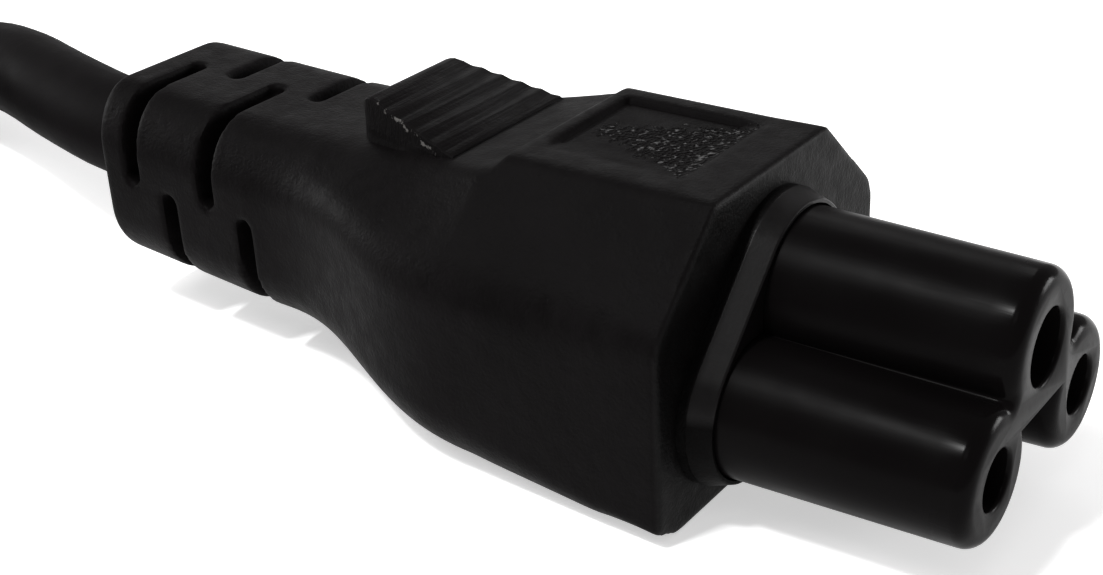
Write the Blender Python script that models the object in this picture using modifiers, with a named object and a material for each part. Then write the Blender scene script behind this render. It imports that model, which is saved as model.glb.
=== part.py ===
"""Cloverleaf mains lead: a moulded three-hole connector, its cord in a tied coil, and the wall plug."""

import math

import bmesh
import bpy
from mathutils import Matrix, Vector

MM = 0.001

# What pieces keep between them
FIT_GAP = 0.3 * MM

# Connector head, measured back from its front face and up from the floor
HEAD_WIDTH = 22.0 * MM
HEAD_HEIGHT = 16.3 * MM
TOP_FLAT_WIDTH = 10.8 * MM
CREASE_HEIGHT = 11.2 * MM
PAD_LENGTH = 12.1 * MM
PAD_STEP = 1.0 * MM
PAD_BEVEL = 0.9 * MM
FOOT_CHAMFER_WIDTH = 1.9 * MM
FOOT_CHAMFER_HEIGHT = 0.9 * MM
LABEL_LENGTH = 8.6 * MM
LABEL_WIDTH = 8.4 * MM
LABEL_DEPTH = 0.3 * MM
LABEL_FROM_BACK = 0.9 * MM

# Neck and strain relief behind the head
STRAIGHT_LENGTH = 12.0 * MM
FLARE_LENGTH = 18.2 * MM
RELIEF_LENGTH = 12.9 * MM
NECK_WIDTH = 13.6 * MM
RELIEF_WIDTH = 12.3 * MM
NECK_TOP = 13.9 * MM
NECK_BOTTOM = 2.4 * MM
RELIEF_HEIGHT = 11.5 * MM
CORD_AXIS_HEIGHT = 8.7 * MM
TOP_CORNER_WIDTH = 3.6 * MM
TOP_CORNER_HEIGHT = 3.8 * MM
FOOT_ROUND = 3.5 * MM
RELIEF_RIM = 0.8 * MM
FOOT_RISE_START = 0.75
TOP_ROUND_START = 0.2
FOOT_ROUND_RATE = 3.0
SLOT_WIDTH = 1.4 * MM
SLOT_PITCH = 3.25 * MM
SLOT_RINGS = 4
SLOT_FLOOR_RADIUS = 4.5 * MM
FIRST_SLOT_FROM_END = 3.0 * MM
SLOT_START_DEG = 92.0
SLOT_SWEEP_DEG = 86.0

# Finger grip on the neck, a wedge that is tall towards the cord
GRIP_BACK = 23.9 * MM
GRIP_FRONT = 16.0 * MM
GRIP_BACK_WIDTH = 6.6 * MM
GRIP_FRONT_WIDTH = 10.0 * MM
GRIP_BACK_HEIGHT = 16.3 * MM
GRIP_FRONT_LIP = 0.15 * MM

# Three-lobed nose
NOSE_LENGTH = 14.4 * MM
POLE_SPACING = 10.0 * MM
EARTH_RISE = 4.47 * MM
POLE_HEIGHT = 5.7 * MM
EARTH_LOBE_RADIUS = 3.93 * MM
POLE_LOBE_RADIUS = 3.56 * MM
WEB_RISE = 1.1 * MM
NOTCH_FILLET = 0.7 * MM
NOSE_RIM = 1.0 * MM
NOSE_ROOT = 4.0 * MM
COLLAR_LENGTH = 1.3 * MM
COLLAR_WALL = 0.6 * MM
COLLAR_CHAMFER = 0.3 * MM

# Contact bores and the sleeves in them
EARTH_HOLE_RADIUS = 1.9 * MM
POLE_HOLE_RADIUS = 1.5 * MM
BORE_LIP = 1.5 * MM
BORE_DEPTH = 12.5 * MM
SLEEVE_WALL = 0.4 * MM
SLEEVE_SHOULDER = 0.35 * MM

# Cord and coil
CORD_DIAMETER = 6.4 * MM
CORD_SIDES = 3
COIL_INNER_TURN = 26.8 * MM
COIL_CENTRE = (-88.5 * MM, -29.0 * MM)
COIL_TURNS_WIDE = 3
COIL_FACETS = 40
TIE_WIDTH = 5.0 * MM
TIE_THICKNESS = 1.0 * MM
LEAD_ROUTE = (
    (-31.5, 0.08, 8.71),
    (-35.5, 0.55, 8.72),
    (-42.5, 2.4, 8.6),
    (-49.5, 4.9, 8.1),
    (-56.5, 7.4, 6.8),
    (-63.6, 9.4, 5.0),
)
TAIL_ROUTE = (
    (-106.1, -68.55, 10.4),
    (-100.7, -71.7, 10.6),
    (-94.8, -73.9, 10.8),
    (-87.0, -74.7, 10.95),
    (-79.5, -74.1, 11.0),
    (-72.0, -72.5, 11.0),
    (-65.5, -71.0, 11.0),
)

# Wall plug lying on its flat side
PLUG_BACK = (-60.5 * MM, -70.5 * MM)
PLUG_AXIS_HEIGHT = 11.0 * MM
PLUG_WIDTH = 24.0 * MM
PLUG_HEIGHT = 24.5 * MM
PLUG_BODY_LENGTH = 28.0 * MM
PLUG_FACE_ROUND = 6.0 * MM
PLUG_RELIEF_LENGTH = 22.0 * MM
PLUG_RELIEF_END_WIDTH = 8.6 * MM
PLUG_RELIEF_ROOT_WIDTH = 13.0 * MM
BLADE_LENGTH = 17.9 * MM
BLADE_WIDTH = 6.35 * MM
BLADE_THICKNESS = 1.52 * MM
BLADE_SPACING = 12.7 * MM
PIN_GROUP_DROP = 4.65 * MM
BLADE_ROOT = 3.0 * MM
GROUND_PIN_LENGTH = 21.4 * MM
GROUND_PIN_DIAMETER = 4.8 * MM
GROUND_PIN_RISE = 11.9 * MM

# Places that follow from the sizes
CONNECTOR_BACK = STRAIGHT_LENGTH + FLARE_LENGTH + RELIEF_LENGTH
FACE_X = (NOSE_LENGTH + CONNECTOR_BACK) / 2 - NOSE_LENGTH
NOSE_TIP_X = FACE_X + NOSE_LENGTH
RELIEF_END_X = FACE_X - CONNECTOR_BACK
CORD_RADIUS = CORD_DIAMETER / 2
BLADE_HEIGHT = PLUG_HEIGHT / 2 - PIN_GROUP_DROP


def srgb(red, green, blue):
    """A linear colour from sRGB values of 0 to 255."""
    return tuple((value / 255) ** 2.2 for value in (red, green, blue)) + (1.0,)


def material(name, colour, roughness, metallic=0.0):
    made = bpy.data.materials.new(name)
    made.use_nodes = True
    shader = made.node_tree.nodes["Principled BSDF"]
    shader.inputs["Base Color"].default_value = colour
    shader.inputs["Roughness"].default_value = roughness
    shader.inputs["Metallic"].default_value = metallic
    return made


def put(name, mesh, collection, finish=None):
    """An object of a mesh, in a collection, with its own material."""
    made = bpy.data.objects.new(name, mesh)
    collection.objects.link(made)
    if finish:
        mesh.materials.append(finish)
    return made


def as_cutter(made):
    made.hide_render = True
    made.display_type = "WIRE"
    return made


def combine(target, tool, operation):
    step = target.modifiers.new(operation.lower(), "BOOLEAN")
    step.operation = operation
    step.solver = "EXACT"
    step.object = tool


def box(name, low, high, collection, finish=None):
    """A box between two corners."""
    shape = bmesh.new()
    bmesh.ops.create_cube(shape, size=1.0)
    low, high = Vector(low), Vector(high)
    bmesh.ops.scale(shape, vec=high - low, verts=shape.verts)
    bmesh.ops.translate(shape, vec=(low + high) / 2, verts=shape.verts)
    mesh = bpy.data.meshes.new(name)
    shape.to_mesh(mesh)
    shape.free()
    return put(name, mesh, collection, finish)


def loft(name, sections, collection, finish=None):
    """A closed body through rings of points that all have the same number of points."""
    shape = bmesh.new()
    rings = [[shape.verts.new(point) for point in section] for section in sections]
    count = len(rings[0])
    for near, far in zip(rings, rings[1:]):
        for i in range(count):
            j = (i + 1) % count
            shape.faces.new((near[i], near[j], far[j], far[i]))
    shape.faces.new(rings[0])
    shape.faces.new(rings[-1])
    bmesh.ops.recalc_face_normals(shape, faces=shape.faces)
    mesh = bpy.data.meshes.new(name)
    shape.to_mesh(mesh)
    shape.free()
    return put(name, mesh, collection, finish)


def turned(name, profile, collection, finish=None, steps=20, closed=False):
    """A profile of (radius, height) turned about local Z, from the top down its outer side."""
    mesh = bpy.data.meshes.new(name)
    edges = [(i, i + 1) for i in range(len(profile) - 1)]
    if closed:
        edges.append((len(profile) - 1, 0))
    mesh.from_pydata([(radius, 0.0, height) for radius, height in profile], edges, [])
    made = put(name, mesh, collection, finish)
    screw = made.modifiers.new("turn", "SCREW")
    screw.steps = steps
    screw.render_steps = steps
    screw.use_merge_vertices = True
    screw.merge_threshold = 0.01 * MM
    return made


def along_x(made, x, y, z):
    """Point a turned object's axis along +X, with its local origin at a place."""
    made.matrix_world = Matrix.Translation((x, y, z)) @ Matrix.Rotation(math.pi / 2, 4, "Y")


def ease(value):
    """A smooth step from 0 to 1 with level ends."""
    t = min(max(value, 0.0), 1.0)
    return t * t * t * (10 - 15 * t + 6 * t * t)


def blend(start, end, share):
    return start + (end - start) * share


def arc(centre, radius, start, end, pieces):
    """Points of an arc between two angles, both ends included."""
    points = []
    for i in range(pieces + 1):
        angle = blend(start, end, i / pieces)
        points.append((centre[0] + radius * math.cos(angle), centre[1] + radius * math.sin(angle)))
    return points


# Overmould of the connector

CORNER_PIECES = 5


def corner(width, height, roundness):
    """Offsets from a corner's outer point, from the top edge to the side, straight or round."""
    points = []
    for i in range(CORNER_PIECES + 1):
        share = i / CORNER_PIECES
        angle = share * math.pi / 2
        across = blend(share, math.sin(angle), roundness)
        down = blend(share, 1 - math.cos(angle), roundness)
        points.append((width * (across - 1), -height * down))
    return points


def top_height(back):
    """Height of the top surface at a distance behind the front face."""
    neck_start = HEAD_HEIGHT - PAD_STEP
    if back <= PAD_LENGTH:
        return HEAD_HEIGHT
    bevel_end = PAD_LENGTH + PAD_BEVEL
    if back <= bevel_end:
        return blend(HEAD_HEIGHT, neck_start, (back - PAD_LENGTH) / PAD_BEVEL)
    relief_start = STRAIGHT_LENGTH + FLARE_LENGTH
    relief_top = CORD_AXIS_HEIGHT + RELIEF_HEIGHT / 2
    if back >= relief_start:
        return blend(NECK_TOP, relief_top, (back - relief_start) / RELIEF_LENGTH)
    left = (relief_start - back) / (relief_start - bevel_end)
    return blend(NECK_TOP, neck_start, left * left)


def connector_section(back, inset=0.0):
    """The overmould's outline at a distance behind the front face."""
    relief_start = STRAIGHT_LENGTH + FLARE_LENGTH
    flare = ease((back - STRAIGHT_LENGTH) / FLARE_LENGTH)
    along_relief = max(back - relief_start, 0.0) / RELIEF_LENGTH
    half = blend(HEAD_WIDTH, NECK_WIDTH, flare) / 2
    half = blend(half, RELIEF_WIDTH / 2, along_relief) - inset
    top = top_height(back) - inset
    foot_start = STRAIGHT_LENGTH * FOOT_RISE_START
    foot = NECK_BOTTOM * ease((back - foot_start) / (relief_start - foot_start))
    foot = blend(foot, CORD_AXIS_HEIGHT - RELIEF_HEIGHT / 2, along_relief) + inset
    slope = (HEAD_WIDTH - TOP_FLAT_WIDTH) / 2 / (HEAD_HEIGHT - CREASE_HEIGHT)
    flat = TOP_FLAT_WIDTH / 2 + (HEAD_HEIGHT - top) * slope
    crease = HEAD_HEIGHT - (half - TOP_FLAT_WIDTH / 2) / slope
    round_start = STRAIGHT_LENGTH + FLARE_LENGTH * TOP_ROUND_START
    rounding = ease((back - round_start) / (relief_start - round_start))
    top_width = blend(max(half - flat, 0.0), TOP_CORNER_WIDTH, rounding)
    top_depth = blend(max(top - crease, 0.0), TOP_CORNER_HEIGHT, rounding)
    foot_share = min(back / STRAIGHT_LENGTH, 1.0)
    foot_rounding = min(foot_share * FOOT_ROUND_RATE, 1.0)
    foot_width = blend(FOOT_CHAMFER_WIDTH, FOOT_ROUND, foot_share)
    foot_height = blend(FOOT_CHAMFER_HEIGHT, FOOT_ROUND, foot_share)
    upper = [(half + y, top + z) for y, z in corner(top_width, top_depth, rounding)]
    lower = [(half + y, foot - z) for y, z in corner(foot_width, foot_height, foot_rounding)]
    right = upper + lower[::-1]
    left = [(-y, z) for y, z in right[::-1]]
    return [(FACE_X - back, y, z) for y, z in right + left]


def connector_stations():
    """Distances behind the front face where the overmould has a section."""
    relief_start = STRAIGHT_LENGTH + FLARE_LENGTH
    bevel_end = PAD_LENGTH + PAD_BEVEL
    flare_steps = 11
    relief_steps = 4
    rim_start = CONNECTOR_BACK - RELIEF_RIM
    stations = [0.0, STRAIGHT_LENGTH * 0.25, STRAIGHT_LENGTH * 0.5, STRAIGHT_LENGTH * 0.75]
    stations += [PAD_LENGTH, bevel_end]
    stations += [blend(bevel_end, relief_start, (i + 1) / flare_steps) for i in range(flare_steps)]
    stations += [blend(relief_start, rim_start, (i + 1) / relief_steps) for i in range(relief_steps)]
    return stations


def make_overmould(collection, cutters, finish):
    sections = [connector_section(back) for back in connector_stations()]
    sections.append(connector_section(CONNECTOR_BACK - RELIEF_RIM * 0.3, RELIEF_RIM * 0.4))
    sections.append(connector_section(CONNECTOR_BACK, RELIEF_RIM))
    made = loft("connector_overmould", sections, collection, finish)
    combine(made, make_grip(cutters), "UNION")
    combine(made, make_collar(cutters), "UNION")
    combine(made, make_slot_cutter(cutters), "DIFFERENCE")
    label_end = FACE_X - PAD_LENGTH + LABEL_FROM_BACK
    label = box(
        "label_recess_cutter",
        (label_end, -LABEL_WIDTH / 2, HEAD_HEIGHT - LABEL_DEPTH),
        (label_end + LABEL_LENGTH, LABEL_WIDTH / 2, HEAD_HEIGHT + LABEL_DEPTH),
        cutters,
    )
    combine(made, as_cutter(label), "DIFFERENCE")
    pocket_low = FACE_X - NOSE_ROOT - FIT_GAP
    pocket_high = FACE_X + COLLAR_LENGTH * 2
    pocket = loft(
        "insert_pocket_cutter",
        [lobed_section(pocket_low, FIT_GAP), lobed_section(pocket_high, FIT_GAP)],
        cutters,
    )
    combine(made, as_cutter(pocket), "DIFFERENCE")
    return made


def make_grip(cutters):
    """The wedge that the finger pulls on, sunk into the neck."""
    sunk = CORD_AXIS_HEIGHT
    front_top = top_height(GRIP_FRONT) + GRIP_FRONT_LIP
    ends = (
        (GRIP_BACK, GRIP_BACK_WIDTH / 2, GRIP_BACK_HEIGHT),
        (GRIP_FRONT, GRIP_FRONT_WIDTH / 2, front_top),
    )
    sections = []
    for back, half, top in ends:
        x = FACE_X - back
        sections.append([(x, -half, sunk), (x, half, sunk), (x, half, top), (x, -half, top)])
    return as_cutter(loft("grip_body", sections, cutters))


def make_slot_cutter(cutters):
    """Slots round opposite corners of the strain relief, on the other corners in each next ring."""
    outer = max(NECK_WIDTH, RELIEF_HEIGHT)
    pieces = 8
    shape = bmesh.new()
    for ring in range(SLOT_RINGS):
        x = RELIEF_END_X + FIRST_SLOT_FROM_END + ring * SLOT_PITCH
        for turn in (0.0, math.pi):
            start = math.radians(SLOT_START_DEG) + turn
            end = start + math.radians(SLOT_SWEEP_DEG)
            if ring % 2:
                start, end = math.pi - end, math.pi - start
            centre = (0.0, CORD_AXIS_HEIGHT)
            outline = arc(centre, SLOT_FLOOR_RADIUS, start, end, pieces)
            outline += arc(centre, outer, end, start, pieces)
            near = [shape.verts.new((x - SLOT_WIDTH / 2, y, z)) for y, z in outline]
            far = [shape.verts.new((x + SLOT_WIDTH / 2, y, z)) for y, z in outline]
            count = len(outline)
            for i in range(count):
                j = (i + 1) % count
                shape.faces.new((near[i], near[j], far[j], far[i]))
            shape.faces.new(near)
            shape.faces.new(far)
    bmesh.ops.recalc_face_normals(shape, faces=shape.faces)
    mesh = bpy.data.meshes.new("relief_slot_cutter")
    shape.to_mesh(mesh)
    shape.free()
    return as_cutter(put("relief_slot_cutter", mesh, cutters))


# Nose and its three bores

def poles():
    """Name, y, z, lobe radius and hole radius of each contact."""
    half = POLE_SPACING / 2
    return (
        ("earth", 0.0, POLE_HEIGHT + EARTH_RISE, EARTH_LOBE_RADIUS, EARTH_HOLE_RADIUS),
        ("line", half, POLE_HEIGHT, POLE_LOBE_RADIUS, POLE_HOLE_RADIUS),
        ("neutral", -half, POLE_HEIGHT, POLE_LOBE_RADIUS, POLE_HOLE_RADIUS),
    )


def lobed_outline(grow):
    """The nose's outline grown outwards, as (y, z) points from the top round the +Y side."""
    half = POLE_SPACING / 2
    earth = Vector((0.0, POLE_HEIGHT + EARTH_RISE))
    pole = Vector((half, POLE_HEIGHT))
    earth_radius = EARTH_LOBE_RADIUS + grow
    pole_radius = POLE_LOBE_RADIUS + grow
    fillet = NOTCH_FILLET - min(grow, NOTCH_FILLET * 0.8)
    # The fillet's centre is outside both lobes, at its own radius from each
    to_earth, to_pole = earth_radius + fillet, pole_radius + fillet
    between = pole - earth
    span = between.length
    reach = (to_earth ** 2 - to_pole ** 2 + span ** 2) / (2 * span)
    side = math.sqrt(max(to_earth ** 2 - reach ** 2, 0.0))
    ahead = between / span
    outward = Vector((-ahead.y, ahead.x))
    if outward.x < 0:
        outward = -outward
    notch = earth + ahead * reach + outward * side
    at_earth = math.atan2(notch.y - earth.y, notch.x - earth.x)
    at_pole = math.atan2(notch.y - pole.y, notch.x - pole.x)
    web = POLE_HEIGHT + WEB_RISE - grow
    web_angle = math.pi - math.asin((web - POLE_HEIGHT) / pole_radius)
    points = arc(earth, earth_radius, math.pi / 2, at_earth, 6)
    points += arc(notch, fillet, at_earth + math.pi, at_pole + math.pi, 2)[1:-1]
    points += arc(pole, pole_radius, at_pole, web_angle - 2 * math.pi, 12)
    mirrored = [(-y, z) for y, z in points[:0:-1]]
    return points + mirrored


def lobed_section(x, grow):
    return [(x, y, z) for y, z in lobed_outline(grow)]


def hull_outline(grow):
    """The three lobes wrapped tightly, as (y, z) points from the top round the +Y side."""
    half = POLE_SPACING / 2
    earth = Vector((0.0, POLE_HEIGHT + EARTH_RISE))
    pole = Vector((half, POLE_HEIGHT))
    earth_radius = EARTH_LOBE_RADIUS + grow
    pole_radius = POLE_LOBE_RADIUS + grow
    between = pole - earth
    lean = math.acos((earth_radius - pole_radius) / between.length)
    tangent = math.atan2(between.y, between.x) + lean
    points = arc(earth, earth_radius, math.pi / 2, tangent, 5)
    points += arc(pole, pole_radius, tangent, -math.pi / 2, 8)
    mirrored = [(-y, z) for y, z in points[:0:-1]]
    return points + mirrored


def make_collar(cutters):
    """The low step of the overmould round the nose."""
    sections = []
    places = (
        (FACE_X - COLLAR_LENGTH, COLLAR_WALL),
        (FACE_X + COLLAR_LENGTH - COLLAR_CHAMFER, COLLAR_WALL),
        (FACE_X + COLLAR_LENGTH, COLLAR_WALL - COLLAR_CHAMFER * 0.7),
    )
    for x, grow in places:
        sections.append([(x, y, z) for y, z in hull_outline(grow)])
    return as_cutter(loft("collar_body", sections, cutters))


def make_insert(collection, cutters, finish):
    """The hard three-lobed nose, with its root inside the overmould."""
    sections = [lobed_section(FACE_X - NOSE_ROOT, 0.0)]
    rim_pieces = 3
    for i in range(rim_pieces + 1):
        angle = i / rim_pieces * math.pi / 2
        x = NOSE_TIP_X - NOSE_RIM * (1 - math.sin(angle))
        sections.append(lobed_section(x, -NOSE_RIM * (1 - math.cos(angle))))
    made = loft("socket_insert", sections, collection, finish)
    for name, y, z, _, hole in poles():
        chamber = hole + SLEEVE_SHOULDER + FIT_GAP
        profile = (
            (0.0, NOSE_RIM),
            (hole, NOSE_RIM),
            (hole, -BORE_LIP),
            (chamber, -BORE_LIP),
            (chamber, -BORE_DEPTH),
            (0.0, -BORE_DEPTH),
        )
        bore = turned(name + "_bore_cutter", profile, cutters)
        along_x(bore, NOSE_TIP_X, y, z)
        combine(made, as_cutter(bore), "DIFFERENCE")
    return made


def make_sleeves(collection, finish):
    """The metal sleeve contacts, each in the wide part of its bore."""
    front = -BORE_LIP - FIT_GAP
    back = -BORE_DEPTH + FIT_GAP
    for name, y, z, _, hole in poles():
        outer = hole + SLEEVE_SHOULDER
        inner = outer - SLEEVE_WALL
        profile = ((outer, front), (outer, back), (inner, back), (inner, front))
        sleeve = turned("contact_" + name, profile, collection, finish, closed=True)
        along_x(sleeve, NOSE_TIP_X, y, z)


# Cord, coil and tie

def smooth_route(points, step):
    """Points about a step apart on a smooth curve through the route's points."""
    knots = [Vector(point) for point in points]
    ends = [knots[0] * 2 - knots[1]] + knots + [knots[-1] * 2 - knots[-2]]
    curve = []
    for a, b, c, d in zip(ends, ends[1:], ends[2:], ends[3:]):
        pieces = max(1, round((c - b).length / step))
        for i in range(pieces):
            t = i / pieces
            bend = (b - c) * 3 + d - a
            curve.append(b + ((c - a) + ((a * 2 - b * 5 + c * 4 - d) + bend * t) * t) * (t / 2))
    curve.append(knots[-1])
    return curve


def make_cord(name, points, collection, finish):
    """A plain tube of the cord's diameter along a route."""
    route = smooth_route(points, CORD_DIAMETER)
    line = bpy.data.curves.new(name, "CURVE")
    line.dimensions = "3D"
    line.bevel_depth = CORD_RADIUS
    line.bevel_resolution = CORD_SIDES
    line.use_fill_caps = True
    spline = line.splines.new("POLY")
    spline.points.add(len(route) - 1)
    for point, place in zip(spline.points, route):
        point.co = (*place, 1.0)
    made = put(name, line, collection, finish)
    return made


def in_metres(route):
    return [tuple(value * MM for value in point) for point in route]


def make_lead(collection, finish):
    start = (RELIEF_END_X - FIT_GAP, 0.0, CORD_AXIS_HEIGHT)
    make_cord("cord_lead", [start] + in_metres(LEAD_ROUTE), collection, finish)


def make_tail(collection, finish):
    end = (PLUG_BACK[0] - FIT_GAP, PLUG_BACK[1], PLUG_AXIS_HEIGHT)
    make_cord("cord_tail", in_metres(TAIL_ROUTE) + [end], collection, finish)


def coil_outline():
    """Section of the wound turns as (radius, height) points: a layer, and one turn fewer on top of it."""
    middle = COIL_INNER_TURN + (COIL_TURNS_WIDE - 1) * CORD_RADIUS
    low_turn = (COIL_TURNS_WIDE - 1) * CORD_RADIUS
    high_turn = low_turn - CORD_RADIUS
    high = CORD_RADIUS + CORD_DIAMETER * math.sin(math.pi / 3)
    lean = CORD_RADIUS * math.cos(math.pi / 6)
    outer_side = [
        (high_turn + lean / 2, high + CORD_RADIUS),
        (high_turn + lean, high + CORD_RADIUS / 2),
        (low_turn + lean, CORD_DIAMETER * 0.75),
        (low_turn + CORD_RADIUS, CORD_RADIUS),
        (low_turn + CORD_RADIUS / 4, 0.0),
    ]
    outline = [(middle + across, up) for across, up in outer_side]
    return outline + [(middle - across, up) for across, up in outer_side[::-1]]


def grown(outline, distance):
    """A convex outline with each of its sides moved outwards by a distance."""
    corners = [Vector(point) for point in outline]
    centre = sum(corners, Vector((0.0, 0.0))) / len(corners)
    sides = []
    for near, far in zip(corners, corners[1:] + corners[:1]):
        normal = Vector((far.y - near.y, near.x - far.x)).normalized()
        if normal.dot(near - centre) < 0:
            normal = -normal
        sides.append((normal, normal.dot(near) + distance))
    points = []
    for (first, reach), (second, next_reach) in zip(sides, sides[1:] + sides[:1]):
        scale = first.x * second.y - first.y * second.x
        across = (reach * second.y - next_reach * first.y) / scale
        points.append((across, (first.x * next_reach - second.x * reach) / scale))
    return points


def tie_prism(name, grow, width, collection, finish=None):
    """The coil's section grown by a distance, as a prism at the coil's side away from the connector."""
    lifted = [(across, max(up, TIE_THICKNESS)) for across, up in coil_outline()]
    outline = grown(lifted, grow)
    sections = []
    for y in (COIL_CENTRE[1] - width / 2, COIL_CENTRE[1] + width / 2):
        sections.append([(COIL_CENTRE[0] - across, y, up) for across, up in outline])
    return loft(name, sections, collection, finish)


def make_coil(collection, cutters, jacket, strap):
    """The wound turns as one ring, and the tie that holds them."""
    ring = turned("cord_coil", coil_outline(), collection, jacket, steps=COIL_FACETS, closed=True)
    ring.location = (*COIL_CENTRE, 0.0)

    tie = tie_prism("coil_tie", TIE_THICKNESS, TIE_WIDTH, collection, strap)
    hole = tie_prism("tie_hole_cutter", 0.0, TIE_WIDTH * 2, cutters)
    combine(tie, as_cutter(hole), "DIFFERENCE")

    groove_width = TIE_WIDTH + 2 * FIT_GAP
    groove = tie_prism("tie_groove_cutter", TIE_THICKNESS + FIT_GAP, groove_width, cutters)
    core = tie_prism("tie_groove_core_cutter", -FIT_GAP, TIE_WIDTH * 2, cutters)
    combine(groove, as_cutter(core), "DIFFERENCE")
    combine(ring, as_cutter(groove), "DIFFERENCE")


# Wall plug

def plug_section(x, width, low, high, rounding):
    """A rounded rectangle across the plug's length."""
    y, half = PLUG_BACK[1], width / 2
    r = min(rounding, half, (high - low) / 2)
    corners = (
        ((y + half - r, high - r), 0.0),
        ((y - half + r, high - r), math.pi / 2),
        ((y - half + r, low + r), math.pi),
        ((y + half - r, low + r), 1.5 * math.pi),
    )
    outline = []
    for centre, start in corners:
        outline += arc(centre, r, start, start + math.pi / 2, 3)
    return [(x, across, up) for across, up in outline]


def plug_face_x():
    return PLUG_BACK[0] + PLUG_RELIEF_LENGTH + PLUG_BODY_LENGTH


def make_plug(collection, cutters, finish):
    """The moulded plug body with its tapered strain relief."""
    back = PLUG_BACK[0]
    root = back + PLUG_RELIEF_LENGTH
    face = plug_face_x()
    sections = []
    for share in (0.0, 0.35, 0.7, 1.0):
        half = blend(PLUG_RELIEF_END_WIDTH, PLUG_RELIEF_ROOT_WIDTH, share) / 2
        x = blend(back, root, share)
        sections.append(plug_section(x, 2 * half, PLUG_AXIS_HEIGHT - half, PLUG_AXIS_HEIGHT + half, half))
    for share in (0.25, 0.5, 0.75):
        grown = ease(share)
        x = blend(root, root + PLUG_BODY_LENGTH * 0.5, share)
        width = blend(PLUG_RELIEF_ROOT_WIDTH, PLUG_WIDTH, grown)
        low = blend(PLUG_AXIS_HEIGHT - PLUG_RELIEF_ROOT_WIDTH / 2, 0.0, grown)
        high = blend(PLUG_AXIS_HEIGHT + PLUG_RELIEF_ROOT_WIDTH / 2, PLUG_HEIGHT, grown)
        sections.append(plug_section(x, width, low, high, PLUG_FACE_ROUND))
    for x in (root + PLUG_BODY_LENGTH * 0.5, face):
        sections.append(plug_section(x, PLUG_WIDTH, 0.0, PLUG_HEIGHT, PLUG_FACE_ROUND))
    made = loft("plug_overmould", sections, collection, finish)
    for name, low, high in blade_boxes(FIT_GAP):
        slot = box(name + "_slot_cutter", low, high, cutters)
        combine(made, as_cutter(slot), "DIFFERENCE")
    y, z = PLUG_BACK[1], BLADE_HEIGHT + GROUND_PIN_RISE
    radius = GROUND_PIN_DIAMETER / 2 + FIT_GAP
    depth = BLADE_ROOT + FIT_GAP
    profile = ((0.0, BLADE_ROOT), (radius, BLADE_ROOT), (radius, -depth), (0.0, -depth))
    hole = turned("ground_hole_cutter", profile, cutters)
    along_x(hole, face, y, z)
    combine(made, as_cutter(hole), "DIFFERENCE")
    return made


def blade_boxes(grow):
    """Name and corners of the two flat blades, grown by a clearance."""
    face = plug_face_x()
    boxes = []
    for name, side in (("blade_line", 1), ("blade_neutral", -1)):
        y = PLUG_BACK[1] + side * BLADE_SPACING / 2
        half_y = BLADE_THICKNESS / 2 + grow
        half_z = BLADE_WIDTH / 2 + grow
        low = (face - BLADE_ROOT - grow, y - half_y, BLADE_HEIGHT - half_z)
        high = (face + BLADE_LENGTH, y + half_y, BLADE_HEIGHT + half_z)
        boxes.append((name, low, high))
    return boxes


def make_pins(collection, finish):
    """The two flat blades and the round ground pin."""
    for name, low, high in blade_boxes(0.0):
        blade = box(name, low, high, collection, finish)
        soft = blade.modifiers.new("tip", "BEVEL")
        soft.width = BLADE_THICKNESS * 0.25
        soft.segments = 1
        soft.limit_method = "ANGLE"
    radius = GROUND_PIN_DIAMETER / 2
    tip = GROUND_PIN_LENGTH
    profile = [(0.0, tip)]
    profile += [(radius * math.sin(a), tip - radius * (1 - math.cos(a))) for a in (0.4, 0.8, 1.2)]
    profile += [(radius, tip - radius), (radius, -BLADE_ROOT), (0.0, -BLADE_ROOT)]
    pin = turned("ground_pin", profile, collection, finish)
    along_x(pin, plug_face_x(), PLUG_BACK[1], BLADE_HEIGHT + GROUND_PIN_RISE)


def main():
    for old in list(bpy.data.objects):
        bpy.data.objects.remove(old)
    parts = bpy.data.collections.new("cloverleaf_power_cord")
    cutters = bpy.data.collections.new("cutters")
    for collection in (parts, cutters):
        bpy.context.scene.collection.children.link(collection)

    soft_black = srgb(34, 32, 32)
    overmould = material("overmould_pvc", soft_black, 0.55)
    nose = material("insert_plastic", srgb(26, 25, 26), 0.3)
    metal = material("contact_brass", srgb(196, 170, 110), 0.35, 1.0)
    jacket = material("cord_jacket", soft_black, 0.5)
    strap = material("tie_plastic", srgb(24, 24, 25), 0.4)
    plug = material("plug_pvc", soft_black, 0.5)
    blades = material("blade_nickel", srgb(200, 198, 190), 0.25, 1.0)

    make_overmould(parts, cutters, overmould)
    make_insert(parts, cutters, nose)
    make_sleeves(parts, metal)
    make_lead(parts, jacket)
    make_coil(parts, cutters, jacket, strap)
    make_tail(parts, jacket)
    make_plug(parts, cutters, plug)
    make_pins(parts, blades)


main()
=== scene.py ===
"""Dresses the cloverleaf power cord: fine moulded pieces, materials, studio light and camera."""

import math

import bmesh
import bpy
from mathutils import Matrix, Vector


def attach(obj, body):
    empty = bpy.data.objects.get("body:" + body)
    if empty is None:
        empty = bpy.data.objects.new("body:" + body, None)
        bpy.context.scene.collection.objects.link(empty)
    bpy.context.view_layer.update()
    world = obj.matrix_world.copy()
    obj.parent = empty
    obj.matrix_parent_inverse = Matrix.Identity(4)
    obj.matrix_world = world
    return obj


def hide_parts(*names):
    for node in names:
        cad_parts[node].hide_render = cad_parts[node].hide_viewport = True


MM = 0.001

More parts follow.
